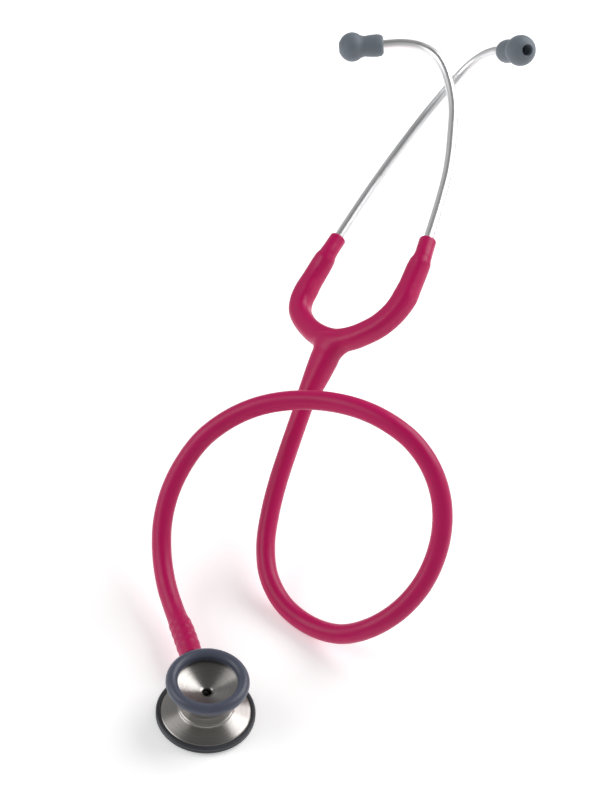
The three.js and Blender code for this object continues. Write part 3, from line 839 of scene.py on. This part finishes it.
def yoke_piece(name, points, faces, side=None):
    """One of the three pieces of the moulding: the middle, or the arm on one side."""
    piece = mesh_piece(name, points, faces)
    shape = bmesh.new()
    shape.from_mesh(piece.data)
    everything = [*shape.verts, *shape.edges, *shape.faces]
    bmesh.ops.bisect_plane(shape, geom=everything, plane_co=(0, 0, ARM_CUT), plane_no=(0, 0, 1),
                           clear_inner=side is not None, clear_outer=side is None)
    if side is not None:
        unwanted = [v for v in shape.verts if (v.co.x > 0) == (side == "left")]
        bmesh.ops.delete(shape, geom=unwanted, context="VERTS")
    open_edges = [edge for edge in shape.edges if edge.is_boundary]
    bmesh.ops.holes_fill(shape, edges=open_edges, sides=0)
    bmesh.ops.recalc_face_normals(shape, faces=shape.faces)
    shape.to_mesh(piece.data)
    shape.free()
    return piece


def bore_mouth(piece, side):
    """Open the seat that the ear tube and its ferrule stand in."""
    mouth, up = root_line(side)
    reach = 30
    line = np.array([mouth - up * reach, mouth + up * reach])
    bore, seat = EAR_TUBE_RADIUS + 0.06, 3.6
    floor, shoulder = reach - 11.3, reach - 3.2
    profile = [(floor, 0), (floor, seat), (shoulder, seat), (shoulder, bore),
               (reach + 3, bore), (reach + 3, 0)]
    cut(piece, spin("mouth_cutter", line, profile, 40, closed=False))


def shade_by_distance(piece, distance):
    """Exact normals from the moulding's formula, so that its three pieces join without a line."""
    mesh = piece.data
    mesh.shade_smooth()
    points = np.array([v.co for v in mesh.vertices], float)
    here = distance(points)
    ideal = unit_rows(slope(distance, points, here) + 1e-12)
    on_skin = np.abs(here) < 0.06
    least_agreement = 0.75       # below this the face is a cut, not skin
    normals = []
    for polygon in mesh.polygons:
        flat = np.array(polygon.normal)
        for vertex in polygon.vertices:
            use_ideal = on_skin[vertex] and float(ideal[vertex] @ flat) > least_agreement
            normals.append(tuple(ideal[vertex] if use_ideal else flat))
    mesh.normals_split_custom_set(normals)


def headset_to_row(piece):
    """Take a piece from millimetres in the headset frame to its place."""
    turn = Matrix((HEADSET_X, HEADSET_Y, HEADSET_Z)).transposed().to_4x4()
    piece.data.transform(Matrix.Translation(HEADSET_PLACE) @ turn @ Matrix.Scale(MM, 4))


def make_yoke():
    """The moulding's middle, which rides on the yoke's body, and its two arms, which are split off and left
    in place.
    """
    points, faces, distance = yoke_surface()
    centre = yoke_piece("yoke_fork", points, faces)
    shade_by_distance(centre, distance)
    headset_to_row(centre)
    placed(centre, "yoke_and_tube", "crimson_vinyl", CRIMSON, "yoke")
    for side, knuckle in (("left", FORK_ROUTE[0]), ("right", FORK_ROUTE[-1])):
        arm = yoke_piece(f"fork_arm_{side}", points, faces, side)
        bore_mouth(arm, side)
        shade_by_distance(arm, distance)
        headset_to_row(arm)
        finished(arm, "crimson_vinyl", CRIMSON, f"yoke_arm_{side}")
        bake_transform(arm)


make_yoke()


SPRING_SHARE = 0.83              # how much of the fork's line the spring runs along


def make_leaf_spring():
    """Flat spring strip with rounded edges, bent round inside the fork."""
    fork = smooth_line([headset(p) for p in FORK_ROUTE], 24)
    along = lengths(fork)
    kept = np.abs(along / along[-1] - 0.5) < SPRING_SHARE / 2
    line = at_even_steps(fork[kept], 1.2 * MM)
    tangents = unit_rows(np.gradient(line, axis=0))
    through = unit_rows(HEADSET_Y - tangents * (tangents @ HEADSET_Y)[:, None])
    across = np.cross(tangents, through)
    half_width, half_thickness, corner = 1.8 * MM, 0.35 * MM, 0.2 * MM
    section = []
    for sx, sy, start in ((1, 1, 0), (-1, 1, 90), (-1, -1, 180), (1, -1, 270)):
        for turn in (0, 30, 60, 90):
            angle = math.radians(start + turn)
            section.append((sx * (half_thickness - corner) + corner * math.cos(angle),
                            sy * (half_width - corner) + corner * math.sin(angle)))
    vertices = [place + a * x + t * y for place, a, t in zip(line, across, through) for x, y in section]
    n = len(section)
    last = (len(line) - 1) * n
    faces = [[ring + i, ring + (i + 1) % n, ring + n + (i + 1) % n, ring + n + i]
             for ring in range(0, last, n) for i in range(n)]
    faces += [list(range(n))[::-1], list(range(last, last + n))]
    strip = mesh_piece("spring_strip", vertices, faces)
    face_outwards(strip)
    strip.data.set_sharp_from_angle(angle=math.radians(50))
    placed(strip, "yoke_and_tube", "spring_steel", SPRING_STEEL, "leaf_spring")


make_leaf_spring()

# ---------------------------------------------------------------- chestpiece

HEAD = "chestpiece_head"
DETENT_AT = -2.5                 # where the detent's cross hole is, along the stem, in millimetres
BELL_LIP = 15.6                  # radius of the middle of the bell's lip, in millimetres


def make_head():
    """Turned head: a cupped plate, a flared neck and a shallow bell bowl, with its cross holes."""
    port, bowl_edge, bowl_floor = 2.2, 14.3, 15.4
    bowl = [(bowl_floor + 3.6 * reach**1.35, port + 0.35 + (bowl_edge - port - 0.35) * reach, 0)
            for reach in np.linspace(1, 0.02, 16)]
    body = turned("chestpiece_turning", HEAD_FOOT, UP, [
        (4.6, port, 0.2), (4.6, 3.2, 0.3), (1.95, 17.5, 0.3), (1.3, 17.9, 0.15), (1.3, 20, 0.3),
        (2.95, 20, 0.3), (3.35, 19.55, 0.3), (5.55, 12.7, 0.5), (5.85, 12.25, 0.2), (6.35, 12.05, 0.15),
        (6.75, 11.5, 0.25), (11, 11.6, 2), (14, 12.4, 2), (17.2, 14.1, 1.5), (18.8, 16.2, 0.5),
        (22, 16.2, 0.3), (22, 15, 0.3), (19.2, 15, 0.3), *bowl, (bowl_floor - 0.35, port, 0.1),
    ], 160)
    middle = 40 * MM
    start = STEM_PLACE - STEM_AXIS * middle

    def side_bar(radius, low, high):
        """A bar along the stem's axis, to cut the holes for the stem and its bushing."""
        ends = [(low, 0), (low, radius), (high, radius), (high, 0)]
        profile = [(middle + along * MM, out * MM) for along, out in ends]
        return spin("side_cutter", straight(start, STEM_AXIS, 0.1), profile, 64, closed=False)

    cross = STEM_PLACE + STEM_AXIS * DETENT_AT * MM
    screw_hole = spin("screw_cutter", straight(cross, DETENT_OUT, 0.1),
                      scaled([(1, 0), (1, 1.35), (16, 1.35), (16, 0)]), 40, closed=False)
    journal_bore = side_bar(3.15, -5.6, 6)
    bushing_seat = side_bar(4.2, 4.6, 14)
    flange_seat = side_bar(5, 11.6, 20)
    cut(body, journal_bore, bushing_seat, flange_seat, screw_hole)
    placed(body, HEAD, "brushed_steel", HEAD_STEEL, "chestpiece_body")


def make_bell_ring():
    """Soft ring that grips the bell's lip from above."""
    centre, radius = 21.9, 2.65
    slot_inner, slot_outer = BELL_LIP - 0.65, BELL_LIP + 0.65
    half = math.asin((slot_outer - BELL_LIP) / radius)
    arc = [(centre + radius * math.sin(a), BELL_LIP + radius * math.cos(a), 0)
           for a in np.linspace(-math.pi / 2 + half, 1.5 * math.pi - half, 40)]
    slot = [(22.1, slot_inner, 0.15), (22.1, slot_outer, 0.15)]
    ring = turned("bell_sleeve", HEAD_FOOT, UP, [*arc, *slot], 160)
    placed(ring, HEAD, "slate_rubber", SLATE, "bell_ring")


def make_rim():
    """Snap-on rim with a fine groove round its outer wall."""
    rim = turned("rim_ring", HEAD_FOOT, UP, [
        (0.1, 19.45, 0.2), (0.1, 21.3, 0.5), (0.75, 22, 0.5), (1.45, 22, 0.1), (1.6, 21.8, 0.08),
        (1.8, 21.8, 0.08), (1.95, 22, 0.1), (2.75, 22, 0.5), (3.3, 21.45, 0.4), (3.3, 20.12, 0.25),
        (1.0, 20.12, 0.15), (1.0, 19.45, 0.15),
    ], 180)
    placed(rim, HEAD, "slate_rubber", CHARCOAL, "diaphragm_rim")


def make_diaphragm():
    """Thin stiff disc with a softened edge."""
    disc = spin("diaphragm_disc", straight(HEAD_FOOT, UP, 0.01), scaled([
        (0, 0), (0, 6), (0, 12), (0, 18.4), (0, 18.8), (0.05, 19), (0.12, 19.1), (0.25, 19.1), (0.32, 19),
        (0.35, 18.8), (0.35, 18.4), (0.35, 12), (0.35, 6), (0.35, 0),
    ]), 120, closed=False)
    placed(disc, "diaphragm", "diaphragm_resin", RESIN, "diaphragm")


def make_stem():
    """Hollow stem with a journal, a flange, a collar and rounded barbs, and a port into the bell."""
    length, bore = 44.5, 1.2
    profile = [
        (-5.2, 0.0, 0), (-5.2, 2.4, 0.25), (2, 2.4, 0.1), (2.1, 2.05, 0.05), (3.1, 2.05, 0.05),
        (3.2, 2.85, 0.1), (4.6, 2.85, 0.1), (4.6, 2.4, 0.1), (13.6, 2.4, 0.2), (14.1, 3.4, 0.3),
        (15, 3.6, 0.4), (20, 3.6, 0.5), (23.2, 3.3, 0.4), (23.7, 1.9, 0.2),
    ]
    for barb in (29, 33.5, 38):
        profile += [(barb, 1.65, 0.15), (barb + 0.4, 1.98, 0.12), (barb + 3, 1.65, 0.3)]
    profile += [(length, 1.5, 0.15), (length, bore, 0), (-2.2, bore, 0.2), (-2.2, 0.0, 0)]
    middle = 20 * MM
    line = straight(STEM_PLACE - STEM_AXIS * middle, STEM_AXIS, 0.1)
    stations = [(middle + along * MM, radius * MM) for along, radius in rounded(profile, 3)]
    stem = spin("hollow_stem", line, stations, 64, closed=False)
    port = spin("port_cutter", straight(STEM_PLACE, UP, 0.05), scaled([(0, 0), (0, 1.3), (4, 1.3), (4, 0)]),
                40, closed=False)
    cut(stem, port, *(detent_seat(sign) for sign in (1, -1)))
    placed(stem, "yoke_and_tube", "brushed_steel", STEM_STEEL, "stem")


def ball(name, place, radius):
    """A finely divided ball."""
    profile = [(radius * (1 - math.cos(a)), radius * math.sin(a)) for a in np.linspace(0, math.pi, 20)]
    profile[-1] = (2 * radius, 0.0)
    return spin(name, straight(place - UP * radius, UP, 0.02), profile, 40, closed=False)


def detent_seat(sign):
    """A ball that cuts the dimple for the click ball, on one side of the stem."""
    place = STEM_PLACE + STEM_AXIS * DETENT_AT * MM + STEM_SIDE * sign * 3.05 * MM
    return ball("seat_cutter", place, 1.15 * MM)


def box_mesh(place, halves):
    """Corners and faces of a box along the cross hole, the stem and the vertical."""
    axes = (DETENT_OUT, STEM_AXIS, UP)
    corners = [sum((s * h * axis for s, h, axis in zip((i, j, k), halves, axes)), np.asarray(place, float))
               for i in (-1, 1) for j in (-1, 1) for k in (-1, 1)]
    faces = [(0, 1, 3, 2), (4, 6, 7, 5), (0, 4, 5, 1), (2, 3, 7, 6), (0, 2, 6, 4), (1, 5, 7, 3)]
    return corners, faces


def make_stem_fittings():
    """Bushing, o-ring and the three pieces of the detent."""
    bushing = turned("threaded_bushing", STEM_PLACE, STEM_AXIS, [
        (4.9, 2.62, 0.15), (4.9, 3.9, 0.2), (12, 3.9, 0.1), (12, 4.55, 0.2), (13.1, 4.55, 0.25),
        (13.35, 4.2, 0.2), (13.35, 2.62, 0.2),
    ], 72)
    placed(bushing, HEAD, "brass", BRASS, "stem_bushing")
    around = np.linspace(0, 2 * math.pi, 16, endpoint=False)
    section = [(2.6 + 0.34 * math.sin(a), 2.62 + 0.34 * math.cos(a)) for a in around]
    o_ring = spin("seal_ring", straight(STEM_PLACE, STEM_AXIS, 60 * MM), scaled(section), 56)
    placed(o_ring, "yoke_and_tube", "slate_rubber", SLATE, "stem_o_ring")
    cross = STEM_PLACE + STEM_AXIS * DETENT_AT * MM
    placed(ball("click_ball", cross + DETENT_OUT * 3.35 * MM, 0.9 * MM), "detent_ball", "spring_steel",
           SPRING_STEEL, "detent_ball")
    turns, coil, wire, foot, height = 4.5, 0.72 * MM, 0.1 * MM, 4.5, 3.4
    helix = []
    for angle in np.linspace(0, 2 * math.pi * turns, 120):
        rise = (foot + height * angle / (2 * math.pi * turns)) * MM
        swing = coil * (math.cos(angle) * STEM_AXIS + math.sin(angle) * UP)
        helix.append(cross + DETENT_OUT * rise + swing)
    total = lengths(np.array(helix))[-1]
    along_wire = [(s, wire) for s in np.linspace(0, total, 200)]
    spring = spin("click_spring", helix, [(0, 0), *along_wire, (total, 0)], 10, closed=False)
    placed(spring, HEAD, "spring_steel", SPRING_STEEL, "detent_spring")
    screw = turned("click_screw", cross, DETENT_OUT, [
        (8.4, 0, 0), (8.4, 0.95, 0.1), (8.6, 1.05, 0.1), (10.8, 1.05, 0.15), (11, 0.9, 0.1), (11, 0, 0),
    ], 48, closed=False)
    slot_halves = (0.8 * MM, 0.25 * MM, 1.6 * MM)
    cut(screw, mesh_piece("slot_cutter", *box_mesh(cross + DETENT_OUT * 11 * MM, slot_halves)))
    placed(screw, HEAD, "brushed_steel", STEM_STEEL, "detent_screw")


make_head()
make_bell_ring()
make_rim()
make_diaphragm()
make_stem()
make_stem_fittings()

# ---------------------------------------------------------------- floor, light and finish

FLOOR_GLOW = 0.34
LIGHT_TARGET = (0, -0.02, -0.03)
# Name, place, size and power in watts. The glint stands where the key does, and adds to it.
SOFTBOXES = [
    ("key", (0.6, 0.38, 0.66), (0.8, 0.8), 7.6),
    ("key_glint", (0.6, 0.38, 0.66), (0.8, 0.8), 1.4),
    ("left_front", (-0.85, -0.18, 0.55), (0.7, 0.7), 3.4),
    ("right_side", (0.85, -0.15, 0.25), (0.25, 0.6), 0.25),
]
SKY_STRENGTH = 0.62
# Greys of the sky, from the horizon to straight overhead, and from the front to the back of the room.
SKY_BY_HEIGHT = [(0.0, 0.9), (0.3, 1.0), (0.55, 0.95), (0.8, 0.5), (1.0, 0.2)]
SKY_BY_DEPTH = [(0.0, 0.75), (0.3, 0.85), (0.5, 1.0), (0.7, 0.85), (1.0, 0.55)]


def make_floor():
    """Pale paper, a hair below the lowest piece."""
    half, height = 1.6, FLOOR - 0.0002
    floor = mesh_piece("floor", [(-half, -half, height), (half, -half, height), (half, half, height),
                                 (-half, half, height)], [(0, 1, 2, 3)])
    shader = Shader("floor_paper", (0.9, 0.9, 0.9), 0.7)
    shader.tint(shader.noise(9, 3), (0.89, 0.89, 0.89), (0.91, 0.91, 0.91))
    shader.bump(shader.noise(900, 3), 0.00002)
    shader.set("Emission Color", (1, 1, 1, 1))
    shader.set("Emission Strength", FLOOR_GLOW)
    floor.data.materials.append(shader.material)


def softbox(name, place, size, power):
    data = bpy.data.lights.new(name, "AREA")
    data.shape = "RECTANGLE"
    data.size, data.size_y = size
    data.energy = power
    light = bpy.data.objects.new(name, data)
    light.location = place
    light.rotation_euler = (Vector(LIGHT_TARGET) - Vector(place)).to_track_quat("-Z", "Y").to_euler()
    bpy.context.scene.collection.objects.link(light)


def make_sky():
    """A pale studio: bright all round above the horizon, dimmer overhead, in front and behind."""
    world = bpy.data.worlds.new("studio")
    bpy.context.scene.world = world
    world.use_nodes = True
    tree = world.node_tree
    split = tree.nodes.new("ShaderNodeSeparateXYZ")
    tree.links.new(tree.nodes.new("ShaderNodeTexCoord").outputs["Generated"], split.inputs["Vector"])

    def ramp(socket, stops):
        made = tree.nodes.new("ShaderNodeValToRGB")
        tree.links.new(socket, made.inputs["Fac"])
        elements = made.color_ramp.elements
        while len(elements) < len(stops):
            elements.new(0.5)
        for element, (position, grey) in zip(elements, stops):
            element.position = position
            element.color = (grey, grey, grey, 1)
        return made.outputs["Color"]

    half = tree.nodes.new("ShaderNodeMath")
    half.operation = "MULTIPLY_ADD"
    tree.links.new(split.outputs["Y"], half.inputs[0])
    half.inputs[1].default_value = 0.5
    half.inputs[2].default_value = 0.5
    both = tree.nodes.new("ShaderNodeMix")
    both.data_type = "RGBA"
    both.blend_type = "MULTIPLY"
    both.inputs["Factor"].default_value = 1
    tree.links.new(ramp(split.outputs["Z"], SKY_BY_HEIGHT), both.inputs["A"])
    tree.links.new(ramp(half.outputs["Value"], SKY_BY_DEPTH), both.inputs["B"])
    background = tree.nodes["Background"]
    tree.links.new(both.outputs["Result"], background.inputs["Color"])
    background.inputs["Strength"].default_value = SKY_STRENGTH


make_floor()
make_sky()
for settings in SOFTBOXES:
    softbox(*settings)
bpy.context.scene.view_settings.view_transform = "Standard"
